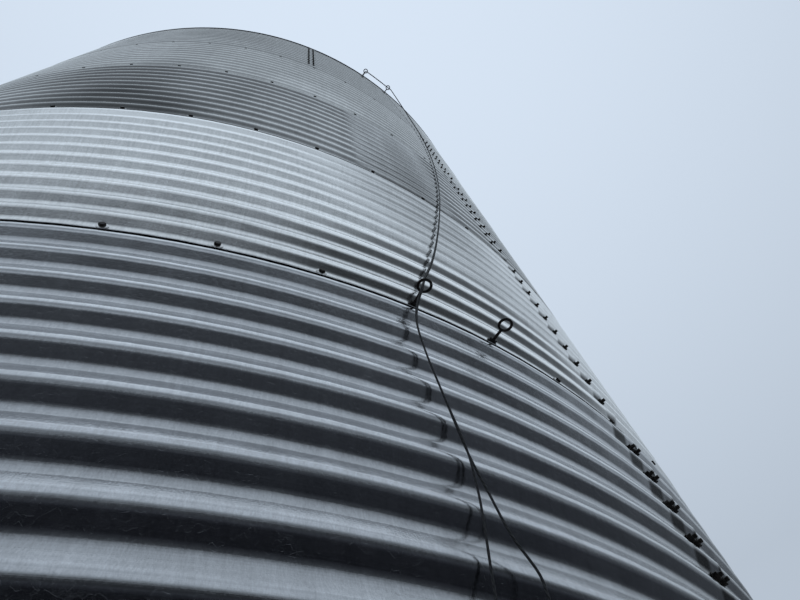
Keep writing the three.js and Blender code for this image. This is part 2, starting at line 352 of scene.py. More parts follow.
def roller_and_reflection_shade(tree, bolts, upward, rolled_and_reflected, gleams):
    """Brightness from lines along the corrugation, partly the rollers' marks and partly painted reflections,
    and from other lines in places, the gleams, which are painted highlights,
    reflections and shadows: each is (bolt, height, bolts to its edge, metres to its edge, lines)."""
    waves_up = math_node(tree, "DIVIDE", math_node(tree, "SUBTRACT", upward, BASE_THICKNESS), PITCH)
    part = math_node(tree, "FRACT", waves_up)
    half = roller_and_reflection_ramp(tree, part, rolled_and_reflected)
    for bolt, middle, wide, tall, lines in gleams:
        away = from_middle(tree, bolts, upward, bolt, middle, wide, tall)
        half = blended(tree, remap(tree, away, 1.0, 0.4, 0, 1), half, roller_and_reflection_ramp(tree, part, lines))
    return math_node(tree, "MULTIPLY", half, 2.0)


def galvanised(
    name, tone, roughness, stains=1.0, streaks=1.0, foot=1.0, rolled_and_reflected=None, patches=(), gleams=(), end=0.0
):
    """Zinc-coated sheet: spangle, an upright grain, fine lines along the sheet, and stains. The wall also has
    lines along its corrugation, partly the rollers' marks and partly painted reflections, with patches in
    places, and
    gleams: painted highlights, reflections and shadows in places. foot is its brightness at the foot of the
    wall, and end how far a sheet goes on over the next one, in bolt spaces."""
    material, tree, shader = new_material(name)
    uv = node(tree, "ShaderNodeUVMap", uv_map="UVMap").outputs[0]
    spread = node(tree, "ShaderNodeMapping", uv, None, None, (130, 130, 1)).outputs[0]
    cells = node(tree, "ShaderNodeTexVoronoi", spread)
    cells.inputs["Scale"].default_value = 1.0
    spangle = node(tree, "ShaderNodeSeparateColor", cells.outputs["Color"]).outputs[0]
    grain = noise(tree, uv, (420, 130, 1), 3, 0.6)
    strokes = noise(tree, uv, (120, 7, 1), 4, 0.6)
    lines = noise(tree, uv, (1.5, 420, 1), 3)
    runs = noise(tree, uv, (26, 1.6, 1), 4, 0.6)
    clouds = noise(tree, uv, (3, 4, 1), 4)
    grime = noise(tree, uv, (11, 40, 1), 5, 0.65)
    waves = noise(tree, uv, (5, 3, 1), 2)

    shade = summed(
        tree,
        remap(tree, spangle, 0, 1, -0.03, 0.03),
        either_way(tree, grain, 0.09),
        either_way(tree, lines, 0.04),
        either_way(tree, strokes, 0.07 * streaks),
        either_way(tree, runs, 0.06 * stains),
        either_way(tree, clouds, 0.06 * stains),
        remap(tree, grime, 0.58, 0.80, 0.0, -0.20 * stains),
        1.0,
    )
    if rolled_and_reflected:
        bolts, upward = sheet_place(tree, uv, end)
        low, high = FOOT_SHADE_HEIGHTS
        # Painted reflections, highlights and shadows across the corrugation, with the rollers' marks, then the
        # darker foot and the soft patches
        for factor in (
            roller_and_reflection_shade(tree, bolts, upward, rolled_and_reflected, gleams),
            remap(tree, upward, low, high, foot, 1.0),
            soft_patches(tree, bolts, upward, patches),
        ):
            shade = math_node(tree, "MULTIPLY", shade, factor)
    link_tone(tree, shader, tone, shade)

    rough = summed(
        tree,
        remap(tree, spangle, 0, 1, -0.03, 0.03),
        remap(tree, clouds, 0.3, 0.7, -0.03, 0.04),
        remap(tree, grime, 0.55, 0.8, 0.0, 0.12),
        roughness,
    )
    tree.links.new(rough, shader.inputs["Roughness"])
    shader.inputs["Metallic"].default_value = 1.0

    height = summed(
        tree,
        math_node(tree, "MULTIPLY", spangle, 0.06),
        math_node(tree, "MULTIPLY", lines, 0.10),
        math_node(tree, "MULTIPLY", grain, 0.35),
        math_node(tree, "MULTIPLY", waves, 6.0),
    )
    link_bump(tree, shader, height, 1.0, 0.0006)
    return material


def weathered(name, tone, roughness, metallic, patch, scale):
    """Dull metal with paler and rougher patches, for bolts, washers, eyes and the lever."""
    material, tree, shader = new_material(name)
    place = node(tree, "ShaderNodeTexCoord").outputs["Object"]
    mottle = noise(tree, place, (scale, scale, scale), 5, 0.6)
    fine = noise(tree, place, (scale * 9, scale * 9, scale * 9), 3)
    colour = blended(tree, remap(tree, mottle, 0.42, 0.68, 0, 1), tone, patch)
    rough = remap(tree, mottle, 0.3, 0.7, roughness - 0.1, roughness + 0.15)
    tree.links.new(colour, shader.inputs["Base Color"])
    tree.links.new(rough, shader.inputs["Roughness"])
    shader.inputs["Metallic"].default_value = metallic
    link_bump(tree, shader, fine, 0.5, 0.0005)
    return material


def laid_cord(name):
    """Black laid cord: strands wound round it, with painted shade in the grooves between them. The UVs are its
    length and the share of the way round.
    """
    material, tree, shader = new_material(name)
    uv = node(tree, "ShaderNodeUVMap", uv_map="UVMap").outputs[0]
    parts = node(tree, "ShaderNodeSeparateXYZ", uv)
    along = math_node(tree, "MULTIPLY", parts.outputs[0], 2 * math.pi / CORD_LAY)
    around = math_node(tree, "MULTIPLY", parts.outputs[1], 2 * math.pi * CORD_STRANDS)
    strands = math_node(tree, "SINE", math_node(tree, "ADD", along, around))
    fibres = math_node(tree, "MULTIPLY", noise(tree, uv, (900, 12, 1), 3), 2)
    # Darker where the strands' wave is low, in the grooves between them: painted shade
    shade = remap(tree, math_node(tree, "ADD", strands, fibres), -1, 3, 0.35, 1.3)
    link_tone(tree, shader, (0.03, 0.03, 0.034), shade)
    shader.inputs["Roughness"].default_value = 0.7
    link_bump(tree, shader, strands, 0.8, 0.0006)
    return material


# Lines of the rollers and painted reflections: half brightness up from a valley to the next
LINES_LOW = [
    (0.0, 0.50), (0.34, 0.50), (0.375, 0.66), (0.405, 0.64), (0.432, 0.43), (0.465, 0.30),
    (0.492, 0.42), (0.515, 0.68), (0.555, 0.70), (0.60, 0.61), (0.66, 0.61), (0.72, 0.53), (1.0, 0.50),
]
# Painted shadow and reflection: a dark band along the lower rings' vertical seams, the shadow of the lapped
# sheet's edge and the reflections of the nuts
SEAM_SHADOW_AND_REFLECTION = [
    (0.0, 0.06), (0.06, 0.02), (0.40, 0.02), (0.47, 0.14), (0.52, 0.60), (0.60, 0.61), (0.72, 0.53),
    (0.94, 0.45), (1.0, 0.10),
]
# Painted shade and reflection round the nuts of the upper rings' vertical seams
SEAM_NUT_SHADE = [
    (0.0, 0.05), (0.05, 0.02), (0.20, 0.03), (0.30, 0.30), (0.36, 0.50), (0.94, 0.48), (1.0, 0.05),
]
# Painted shade, a dark reflection on one flank, with a painted highlight just above it, low in the bright ring
DARK_FLANK = [
    (0.0, 0.50), (0.06, 0.46), (0.10, 0.16), (0.30, 0.13), (0.335, 0.30), (0.37, 1.00), (0.42, 0.85),
    (0.46, 0.62), (0.52, 0.58), (0.62, 0.53), (0.88, 0.56), (1.0, 0.50),
]
LINES_BRIGHT = [
    (0.0, 0.50), (0.05, 0.54), (0.10, 0.54), (0.15, 0.50), (0.33, 0.48), (0.38, 0.40), (0.43, 0.45),
    (0.48, 0.54), (0.55, 0.53), (0.62, 0.50), (1.0, 0.50),
]
GLEAM_BRIGHT = [
    (0.0, 0.47), (0.12, 0.46), (0.22, 0.54), (0.27, 0.95), (0.33, 1.00), (0.37, 0.76), (0.42, 0.40),
    (0.47, 0.32), (0.54, 0.30), (0.7, 0.31), (0.78, 0.35), (0.86, 0.43), (0.95, 0.48), (1.0, 0.47),
]
LINES_DULL = [
    (0.0, 0.49), (0.07, 0.52), (0.125, 0.46), (0.19, 0.32), (0.24, 0.22), (0.30, 0.24), (0.36, 0.36),
    (0.42, 0.49), (0.47, 0.53), (0.58, 0.50), (0.72, 0.54), (0.82, 0.49), (0.90, 0.45), (1.0, 0.49),
]
GLEAM_DULL = [
    (0.0, 0.46), (0.06, 0.30), (0.14, 0.20), (0.18, 0.30), (0.22, 0.62), (0.26, 0.85), (0.32, 0.85),
    (0.36, 0.58), (0.42, 0.32), (0.5, 0.24), (0.72, 0.24), (0.79, 0.34), (0.85, 0.50), (0.93, 0.62),
    (1.0, 0.46),
]
LINES_HIGH = [
    (0.0, 0.46), (0.06, 0.54), (0.13, 0.60), (0.18, 0.60), (0.24, 0.49), (0.32, 0.42), (0.38, 0.47),
    (0.46, 0.56), (0.55, 0.60), (0.65, 0.58), (0.75, 0.51), (0.84, 0.44), (0.93, 0.42), (1.0, 0.46),
]

# Soft patches in the rings: (bolt, height, bolts to its edge, metres to its edge, change of brightness)
PATCHES_BRIGHT = [
    (3.3, 2.95, 3.3, 1.15, -0.26),
    (1.8, 3.16, 1.8, 0.36, -0.26),
    (4.4, 3.20, 1.3, 0.50, -0.10),
    (-1.0, 2.30, 3.4, 0.30, -0.22),
    (-2.2, 3.36, 2.6, 0.20, 0.28),
]
PATCHES_DULL = [
    (-3.2, 3.42, 1.65, 0.55, -0.66),
    (-5.6, 3.62, 1.1, 0.40, 0.35),
    (-3.8, 4.12, 1.5, 0.60, -0.40),
    (-0.2, 3.75, 1.4, 0.80, 0.35),
    (0.5, 3.90, 0.7, 0.90, 0.20),
    (1.8, 3.45, 0.9, 0.35, -0.15),
    (2.0, 3.80, 0.65, 0.75, -0.22),
    (3.5, 3.75, 0.9, 0.70, 0.42),
]
PATCHES_HIGH = [
    (-3.1, 4.45, 1.1, 0.35, -0.28),
    (-3.0, 5.20, 1.0, 0.70, -0.10),
    (0.1, 4.60, 1.7, 0.40, 0.25),
]
PATCHES_TOP = [(-2.8, 6.3, 2.0, 0.5, -0.20), (-5.6, 6.3, 0.9, 0.4, -0.25)]

# Each ring's gleams paint highlights, reflections and shadows in places on its sheets
ZINC_LOW = galvanised(
    "zinc_low_rings",
    (0.448, 0.454, 0.472),
    0.10,
    rolled_and_reflected=LINES_LOW,
    foot=0.75,
    gleams=[(3.93, 1.1, 0.15, WHOLE_RING, SEAM_SHADOW_AND_REFLECTION), (4.28, 1.1, 0.04, WHOLE_RING, SEAM_SHADOW_AND_REFLECTION)],
    end=SHEET_ENDS[0],
)
ZINC_BRIGHT = galvanised(
    "zinc_bright_ring",
    (0.88, 0.88, 0.88),
    0.11,
    0.7,
    rolled_and_reflected=LINES_BRIGHT,
    streaks=1.3,
    patches=PATCHES_BRIGHT,
    gleams=[
        (4.5, 3.2, 5.0, 0.95, GLEAM_BRIGHT),
        (1.7, 2.30, 2.6, 0.40, DARK_FLANK),
        (4.06, 2.8, 0.10, WHOLE_RING, SEAM_NUT_SHADE),
    ],
    end=SHEET_ENDS[2],
)
ZINC_DULL = galvanised(
    "zinc_dull_ring",
    (0.375, 0.375, 0.375),
    0.13,
    rolled_and_reflected=LINES_DULL,
    streaks=1.3,
    patches=PATCHES_DULL,
    gleams=[
        (1.75, 3.9, 1.1, WHOLE_RING, GLEAM_DULL),
        (4.02, 3.9, 0.09, WHOLE_RING, SEAM_NUT_SHADE),
        (3.76, 3.9, 0.09, WHOLE_RING, SEAM_NUT_SHADE),
    ],
    end=SHEET_ENDS[3],
)
ZINC_HIGH = galvanised(
    "zinc_high_rings",
    (0.445, 0.445, 0.440),
    0.15,
    rolled_and_reflected=LINES_HIGH,
    streaks=1.2,
    patches=PATCHES_HIGH,
    gleams=[(4.02, 5.0, 0.09, WHOLE_RING, SEAM_NUT_SHADE), (3.76, 5.0, 0.09, WHOLE_RING, SEAM_NUT_SHADE)],
    end=SHEET_ENDS[4],
)
ZINC_TOP = galvanised(
    "zinc_top_ring", (0.36, 0.36, 0.357), 0.15, rolled_and_reflected=LINES_HIGH, streaks=1.2, patches=PATCHES_TOP
)
ZINC_ROOF = galvanised("zinc_roof", (0.66, 0.68, 0.70), 0.34)
ZINC_RING = galvanised("zinc_base_ring", (0.52, 0.54, 0.56), 0.42, 1.4)
RING_ZINC = (ZINC_LOW, ZINC_LOW, ZINC_BRIGHT, ZINC_DULL, ZINC_HIGH, ZINC_TOP)

BOLT_STEEL = weathered("bolt_steel", (0.014, 0.012, 0.011), 0.5, 0.6, (0.04, 0.033, 0.029), 90)
WASHER_ZINC = weathered("washer_zinc", (0.78, 0.78, 0.78), 0.25, 1.0, (0.30, 0.29, 0.28), 90)
EYE_STEEL = weathered("eye_steel", (0.008, 0.007, 0.007), 0.5, 0.6, (0.03, 0.021, 0.018), 70)
CORD = laid_cord("black_cord")


# The lid's control line


LINE_DIAMETER = 0.004
LINE_SIDES = 10
STEPS_BETWEEN_POINTS = 12
STRAND_SPREAD = 0.0022  # of each strand from the middle of the two, sideways and also in or out

# Each point is (bolt spaces round from the front, radius, height), as in part.mjs
BOTH_STRANDS = [
    (2, 0.385, 8.0838), (2, 0.385, 8.062), (2, 0.408, 8.0), (2, 0.53, 7.902), (2, 0.78, 7.714),
    (2, 1.15, 7.489), (2, 1.6, 7.2285), (2, 2.05, 6.9687), (2, 2.4, 6.7666), (2, 2.44, 6.744),
    (2.006, 2.468, 6.724), (2.012, 2.477, 6.709), (2.08, 2.481, 6.675), (2.5, 2.484, 6.604),
    (2.93, 2.481, 6.655), (3.014, 2.479, 6.7), (3.02, 2.4785, 6.716), (3.045, 2.4785, 6.725),
    (3.087, 2.479, 6.725), (3.118, 2.48, 6.711), (3.121, 2.4808, 6.674), (3.16, 2.4787, 6.534),
    (3.214, 2.4749, 6.399), (3.302, 2.4689, 6.287), (3.418, 2.4613, 6.187), (3.521, 2.4544, 6.045),
    (3.597, 2.449, 5.852), (3.645, 2.4458, 5.634), (3.632, 2.4438, 5.373), (3.481, 2.4425, 4.969),
    (3.23, 2.4413, 4.493), (2.894, 2.4405, 4.009), (2.489, 2.4408, 3.533), (2.002, 2.4449, 3.055),
    (1.588, 2.4543, 2.691), (1.281, 2.466, 2.452), (1.03, 2.4765, 2.28), (0.985, 2.475, 2.238),
    (0.905, 2.463, 2.166), (0.848, 2.456, 2.083), (0.86, 2.451, 1.989), (0.93, 2.447, 1.822),
    (0.985, 2.446, 1.691),
]
LOWER_LOOP = [
    (0.961, 2.446, 1.593), (0.924, 2.446, 1.529), (0.853, 2.446, 1.415), (0.81, 2.447, 1.301),
    (0.84, 2.448, 1.205), (0.93, 2.449, 1.16), (1.03, 2.45, 1.158), (1.13, 2.452, 1.195),
    (1.18, 2.455, 1.301), (1.177, 2.457, 1.424), (1.175, 2.457, 1.46), (1.092, 2.452, 1.522),
    (1.035, 2.448, 1.61),
]


def strand_point(point, side):
    """The point on a strand, side -1 or 1, or at side 0 the point itself, for the loop that joins the two."""
    bolt, radius, height = point
    azimuth = bolt * BOLT_ANGLE
    aside = side * STRAND_SPREAD
    return at(azimuth, radius - aside, height) + at(azimuth + math.pi / 2, aside, 0)


def smooth_route(points, per_span):
    """The centripetal curve through the points, per_span steps between each two."""
    points = [Vector(p) for p in points]
    ends = [2 * points[0] - points[1]] + points + [2 * points[-1] - points[-2]]
    route = []
    for a, b, c, d in zip(ends, ends[1:], ends[2:], ends[3:]):
        t1 = (b - a).length ** 0.5
        t2 = t1 + (c - b).length ** 0.5
        t3 = t2 + (d - c).length ** 0.5
        for step in range(per_span):
            t = t1 + (t2 - t1) * step / per_span
            ab = a.lerp(b, t / t1)
            bc = b.lerp(c, (t - t1) / (t2 - t1))
            cd = c.lerp(d, (t - t2) / (t3 - t2))
            abc = ab.lerp(bc, t / t2)
            bcd = bc.lerp(cd, (t - t1) / (t3 - t1))
            route.append(abc.lerp(bcd, (t - t1) / (t2 - t1)))
    return route + [points[-1]]


def tube(route, radius, sides, closed=False):
    """Vertices, faces and UVs of a round tube along a route, with its section carried along without twist."""
    count = len(route)
    ahead = [(route[(i + 1) % count] if closed or i + 1 < count else route[i]) for i in range(count)]
    behind = [(route[i - 1] if closed or i else route[i]) for i in range(count)]
    tangents = [(a - b).normalized() for a, b in zip(ahead, behind)]
    side = tangents[0].orthogonal().normalized()
    vertices, uvs = [], []
    along = 0.0
    for i, (centre, tangent) in enumerate(zip(route, tangents)):
        side = (side - side.dot(tangent) * tangent).normalized()
        other = tangent.cross(side)
        along += (centre - route[i - 1]).length if i else 0.0
        for k in range(sides):
            turn = 2 * math.pi * k / sides
            vertices.append(centre + radius * (math.cos(turn) * side + math.sin(turn) * other))
            uvs.append((along, k / sides))
    return vertices, section_faces(sides, count, closed), uvs


def add_line(hitch):
    """The one line: down from the lever, round the lower loop and back up beside itself."""
    down = [strand_point(p, -1) for p in BOTH_STRANDS]
    loop = [strand_point(p, 0) for p in LOWER_LOOP]
    up = [strand_point(p, 1) for p in reversed(BOTH_STRANDS)]
    route = smooth_route(down + loop + up, STEPS_BETWEEN_POINTS)
    vertices, faces, uvs = tube(route, LINE_DIAMETER / 2, LINE_SIDES)
    line = add_piece("control_line", vertices, faces, [CORD], uvs)
    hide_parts("lid_line")


# Wall


UP = np.array([0.0, 0.0, 1.0])
PUCKER = 0.0007  # how far a sheet's lower edge stands out between its bolts
LIP = 0.0012  # and how far it stands out all along
GAPE = 0.0016  # how far a sheet's end stands out between its bolts
GAPE_WIDTH = 0.10  # in bolt spaces
COLUMN_STEP = 1 / 3  # of a sheet's columns of vertices, in bolt spaces
ROW_CLEAR = 0.002  # rows this near a sheet's ends are left out


def wall_radius(height):
    """Radius of the corrugation's middle surface: round bends, plain flanks, a valley at every bolt row."""
    part = (height - BASE_THICKNESS) / PITCH % 1.0
    from_valley = np.minimum(part, 1 - part) * PITCH
    near = np.minimum(from_valley, PITCH / 2 - from_valley)
    bend = BEND_RADIUS - np.sqrt(BEND_RADIUS**2 - np.minimum(near, BEND_HEIGHT) ** 2)
    rise = bend + np.maximum(near - BEND_HEIGHT, 0) * math.tan(FLANK_ANGLE)
    return WALL_RADIUS + np.where(from_valley < PITCH / 4, rise - DEPTH / 2, DEPTH / 2 - rise)


def sheet_heights(low, high):
    """Heights of a sheet's rows: its ends, and three to each bend of the corrugation between them."""
    bends = np.arange(0, RINGS * CORRUGATIONS + 1, 0.5) * PITCH + BASE_THICKNESS
    rows = np.add.outer(bends, np.array([-1, -0.5, 0, 0.5, 1]) * BEND_HEIGHT).ravel()
    inner = rows[(rows > low + ROW_CLEAR) & (rows < high - ROW_CLEAR)]
    return np.concatenate([[low], inner, [high]])


def unit(vectors):
    return vectors / np.linalg.norm(vectors, axis=-1, keepdims=True)


def between(distance):
    """From 0 at every whole number to 1 halfway between two."""
    return (1 - np.cos(2 * np.pi * distance)) / 2


def two_skins(outer, inner, normal):
    """Vertices, faces and corner normals of a closed sheet between two grids of points."""
    rows, columns = outer.shape[:2]
    count = rows * columns
    vertices = np.concatenate([outer.reshape(-1, 3), inner.reshape(-1, 3)])
    skins = np.concatenate([grid_faces(rows, columns), grid_faces(rows, columns, count, flip=True)])
    index = np.arange(count).reshape(rows, columns)
    rim = np.concatenate([index[0, :-1], index[:-1, -1], index[-1, :0:-1], index[:0:-1, 0]])
    ahead = np.roll(rim, -1)
    rim_faces = np.stack([ahead, rim, rim + count, ahead + count], axis=1)
    corners = vertices[rim_faces]
    rim_normals = unit(np.cross(corners[:, 1] - corners[:, 0], corners[:, 2] - corners[:, 1]))
    skin_normals = np.concatenate([normal, -normal]).reshape(-1, 3)[skins.ravel()]
    normals = np.concatenate([skin_normals, np.repeat(rim_normals, 4, axis=0)])
    return vertices, np.concatenate([skins, rim_faces]), normals


def add_sheet(name, ring, seam, cad_node, material):
    """One curved sheet, lapped over the ring below and the next sheet round, and under the other two."""
    low = BASE_THICKNESS + ring * RING_HEIGHT - (LAP if ring else 0)
    high = BASE_THICKNESS + (ring + 1) * RING_HEIGHT + LAP
    bolts = lattice(seam + SHEET_STARTS, seam + SHEET_BOLTS + SHEET_ENDS[ring], COLUMN_STEP)

    def outside(z, b):
        up = (z - low) / (high - low)
        round_ = (b - bolts[0]) / (bolts[-1] - bolts[0])
        lip = np.clip(1 - (z - low) / LAP, 0, 1) if ring else 0 * z
        end = np.clip(1 - (bolts[-1] - b) / GAPE_WIDTH, 0, 1)
        pucker = PUCKER * lip * between(b) + LIP * lip**2
        gape = GAPE * end * between((z - BASE_THICKNESS) / PITCH)
        return wall_radius(z) + LAYER * (1 - 2 * up) + LAYER * (round_ - 0.5) + pucker + gape

    z, b = np.meshgrid(sheet_heights(low, high), bolts, indexing="ij")
    azimuth, radius, step = b * BOLT_ANGLE, outside(z, b), 1e-4
    upward = (outside(z + step, b) - outside(z - step, b)) / (2 * step)
    sideways = (outside(z, b + step) - outside(z, b - step)) / (2 * step * BOLT_ANGLE * WALL_RADIUS)
    out = np.stack([np.sin(azimuth), -np.cos(azimuth), 0 * azimuth], axis=-1)
    across = np.stack([np.cos(azimuth), np.sin(azimuth), 0 * azimuth], axis=-1)
    normal = unit(out - sideways[..., None] * across - upward[..., None] * UP)
    outer = radius[..., None] * out + z[..., None] * UP
    inner = (radius - SHEET_THICKNESS)[..., None] * out + z[..., None] * UP
    vertices, faces, normals = two_skins(outer, inner, normal)
    uvs = np.tile(np.stack([azimuth * WALL_RADIUS, z], axis=-1).reshape(-1, 2), (2, 1))
    piece = add_piece(
        name,
        vertices.tolist(),
        faces.tolist(),
        [material],
        uvs,
        normals=normals.tolist(),
    )
    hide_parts(cad_node)


def add_wall():
    for ring in range(RINGS):
        seam = 0 if ring == RINGS - 1 else LOWER_SEAM
        for sheet in range(SHEETS_PER_RING):
            name = f"wall_ring_{ring + 1}_sheet_{'abcd'[sheet]}"
            add_sheet("corrugated_" + name, ring, seam + sheet * SHEET_BOLTS, name, RING_ZINC[ring])


# Bolts


EYE_BOLTS = [  # name, bolt and bolt row
    ("seam_eye_bolt_left", 1, 2),
    ("seam_eye_bolt_right", 2, 2),
    ("eave_eye_bolt_left", 2, RINGS),
    ("eave_eye_bolt_right", 3, RINGS),
]


def turned(profile, sides, material=0):
    """Vertices, faces and the faces' materials: a profile of (out, radius) points turned about a bolt's axis.
    The end at the wall stays open."""
    vertices = []
    for out, radius in profile:
        for k in range(sides):
            turn = 2 * math.pi * (k + 0.5) / sides
            vertices.append((out, radius * math.cos(turn), radius * math.sin(turn)))
    faces = section_faces(sides, len(profile))
    del faces[-2]
    return vertices, faces, [material] * len(faces)


def joined(*parts):
    """Several shapes, each vertices, faces and materials, as one."""
    vertices, faces, materials = [], [], []
    for part_vertices, part_faces, part_materials in parts:
        first = len(vertices)
        vertices += part_vertices
        faces += [tuple(v + first for v in face) for face in part_faces]
        materials += part_materials
    return vertices, faces, materials


# Lap bolts with bonded washers, and the nuts of the vertical seams, as (out from the wall, radius) points
WASHER = turned(
    [(-0.002, 0.0112), (0.0014, 0.0120), (0.0014, 0.0134), (0.0024, 0.0134), (0.0036, 0.0092)], 14, 1
)
BOLT_HEAD = joined(WASHER, turned([(0.003, 0.0080), (0.0082, 0.0080), (0.0094, 0.0066)], 6))
NUT_WASHER = turned([(-0.002, 0.0130), (0.0022, 0.0130), (0.0028, 0.0120)], 14)
NUT = turned([(0.002, 0.0095), (0.0028, 0.0106), (0.0116, 0.0106), (0.0124, 0.0095)], 6)
BOLT_NUT = joined(NUT_WASHER, NUT, turned([(0.012, 0.0050), (0.0200, 0.0050), (0.0212, 0.0040)], 8))


def add_bolts(name, template, places):
    """Copies of a template at (centre, axis), each turned on its axis and leaning a little, both seeded."""
    random = np.random.default_rng(len(places) + sum(map(ord, name)))
    shape = np.array(template[0])
    vertices, faces, materials = [], [], []
    for centre, axis in places:
        turn = random.uniform(0, 2 * math.pi)
        lean_y, lean_z = random.uniform(-0.03, 0.03, 2)
        y = shape[:, 1] * math.cos(turn) - shape[:, 2] * math.sin(turn) + lean_y * shape[:, 0]
        z = shape[:, 1] * math.sin(turn) + shape[:, 2] * math.cos(turn) + lean_z * shape[:, 0]
        across = Vector((0, 0, 1)).cross(axis).normalized()
        above = axis.cross(across)
        first = len(vertices) * len(shape)
        sideways = np.outer(y, across) + np.outer(z, above)
        vertices.append(np.array(centre) + np.outer(shape[:, 0], axis) + sideways)
        faces += [tuple(v + first for v in face) for face in template[1]]
        materials += template[2]
    add_piece(
        name,
        np.concatenate(vertices).tolist(),
        faces,
        [BOLT_STEEL, WASHER_ZINC],
        face_materials=materials,
        sharp=28.0,
    )


def on_wall(bolt, radius, height):
    """The centre and axis of a bolt through the wall."""
    azimuth = bolt * BOLT_ANGLE
    return at(azimuth, radius, height), at(azimuth, 1, 0)


def add_wall_bolts():
    eyes = {(bolt, row) for _, bolt, row in EYE_BOLTS}
    for row in range(RINGS + 1):
        height = BASE_THICKNESS + (row * RING_HEIGHT if row else PITCH)
        bolts = [b for b in range(BOLTS_ROUND) if (b, row) not in eyes]
        places = [on_wall(b, VALLEY_RADIUS + LAYER, height) for b in bolts]
        add_bolts(f"seam_{row}_bolts", BOLT_HEAD, places)
    for ring in range(RINGS):
        seam = 0 if ring == RINGS - 1 else LOWER_SEAM
        places = []
        for sheet in range(SHEETS_PER_RING):
            for column in SEAM_COLUMNS[ring]:
                bolt = seam + sheet * SHEET_BOLTS + column
                for n in range(1, CORRUGATIONS):
                    height = BASE_THICKNESS + ring * RING_HEIGHT + n * PITCH
                    lapped = LAYER * (1.5 - 2 * n / CORRUGATIONS)
                    places.append(on_wall(bolt, VALLEY_RADIUS + lapped, height))
        add_bolts(f"ring_{ring + 1}_upright_seam_nuts", BOLT_NUT, places)


# Eye bolts


EYE_WIRE_RADIUS = 0.0036


def ring_part(centre, radius, wire, steps=40, sides=12):
    """A level ring of round wire about (centre, 0, 0)."""
    circle = [
        Vector((centre + radius * math.cos(t), radius * math.sin(t), 0))
        for t in (2 * math.pi * i / steps for i in range(steps))
    ]
    vertices, faces, _ = tube(circle, wire, sides, closed=True)
    return [tuple(v) for v in vertices], faces, [0] * len(faces)


def add_eye_bolt(name, bolt, row):
    centre = EYE_CENTRE + DEPTH / 2 - LAYER
    shank_end = centre - EYE_RING_RADIUS
    washer = turned([(-0.001, 0.0138), (0.0016, 0.014), (0.003, 0.0125)], 24)
    nut = turned([(0.003, 0.0088), (0.0040, 0.0098), (0.0100, 0.0098), (0.0110, 0.0088)], 6)
    shank = turned([(0.0, 0.0040), (shank_end, 0.0040), (shank_end + 0.0015, 0.0030)], 12)
    template = joined(washer, nut, shank, ring_part(centre, EYE_RING_RADIUS, EYE_WIRE_RADIUS))
    azimuth = bolt * BOLT_ANGLE
    out, across = at(azimuth, 1, 0), at(azimuth + math.pi / 2, 1, 0)
    start = VALLEY_RADIUS + LAYER
    height = BASE_THICKNESS + row * RING_HEIGHT
    vertices = [(start + x) * out + y * across + Vector((0, 0, height + z)) for x, y, z in template[0]]
    piece = add_piece(name + "_steel", vertices, template[1], [EYE_STEEL])
    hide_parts(name)


def add_eye_bolts():
    for name, bolt, row in EYE_BOLTS:
        add_eye_bolt(name, bolt, row)


# Base ring, roof and peak


SECTOR_GAP = 0.0001  # radians that a piece stays back from the next, at each side
SECTOR_STEPS = 48
BASE_EDGE = 0.0008
ROOF_SHEET = 0.0015
ROOF_LIP = 0.014  # depth of the edge that is turned down at the eave
ROOF_STEPS = 8  # down the slope
RIB_SPAN = 0.0412  # from one side of a rib to the other, at its foot
RIB_SIDE = [(0.0006, -0.003), (0.0045, 0.038), (0.0065, 0.046), (0.0105, 0.050)]
RIB_FLANGE = [(RIB_SPAN - 0.0006, 0.0016), (0.0690, 0.0016), (0.0690, -0.003)]
RIB_PROFILE = RIB_SIDE + [(RIB_SPAN - t, h) for t, h in reversed(RIB_SIDE)][:-1] + RIB_FLANGE
RIB_STARTS = COLLAR_OUTSIDE + RIB_END
RIB_ENDS = EAVE_RADIUS - RIB_END
RIB_TAPER = 0.025  # length over which a rib falls to half its height at the eave
RIB_STEPS = 12
RIB_BOLTS = 9
RIB_BOLT_ACROSS = 0.054  # from the rib's line to its bolts, which stand in the flange
SLOPE_STRETCH = 1.15  # of the UVs down the slope
AXIS_HOLE = 0.0005


def add_base_ring():
    inside = VALLEY_RADIUS - SHEET_BACK
    outside = inside + BASE_WIDTH
    profile = [
        (inside, 0),
        (outside - BASE_EDGE, 0),
        (outside, BASE_EDGE),
        (outside, BASE_THICKNESS - BASE_EDGE),
        (outside - BASE_EDGE, BASE_THICKNESS),
        (inside, BASE_THICKNESS),
    ]
    angle = 2 * math.pi / SHEETS_PER_RING
    for quarter, letter in enumerate("abcd"):
        start = quarter * angle + SECTOR_GAP
        vertices, faces, uvs = turned_about_axis(
            profile, start, start + angle - 2 * SECTOR_GAP, SECTOR_STEPS
        )
        piece = add_piece("flat_ring_" + letter, vertices, faces, [ZINC_RING], uvs)
        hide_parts("base_ring_" + letter)


def roof_point(azimuth, across, radius, above):
    """A point on the roof: across from the line up the slope at an azimuth, and above the sheet at right
    angles to it."""
    out = radius + above * math.sin(ROOF_ANGLE)
    height = roof_top(radius) + above * math.cos(ROOF_ANGLE)
    return at(azimuth, out, height) + at(azimuth + math.pi / 2, across, 0)


def roof_rib(azimuth):
    """A folded rib with the flange that lies on the next panel. The rib tapers down at its lower end."""
    length = RIB_ENDS - RIB_TAPER - RIB_STARTS
    stations = [(RIB_STARTS + length * i / RIB_STEPS, 1.0) for i in range(RIB_STEPS + 1)]
    stations.append((RIB_ENDS, 0.5))
    vertices, uvs = [], []
    for radius, part in stations:
        for t, h in RIB_PROFILE:
            vertices.append(roof_point(azimuth, t, radius, h * part if h > 0.002 else h))
            uvs.append((t + abs(h) + 3 * azimuth, radius * SLOPE_STRETCH))
    return vertices, section_faces(len(RIB_PROFILE), len(stations)), uvs


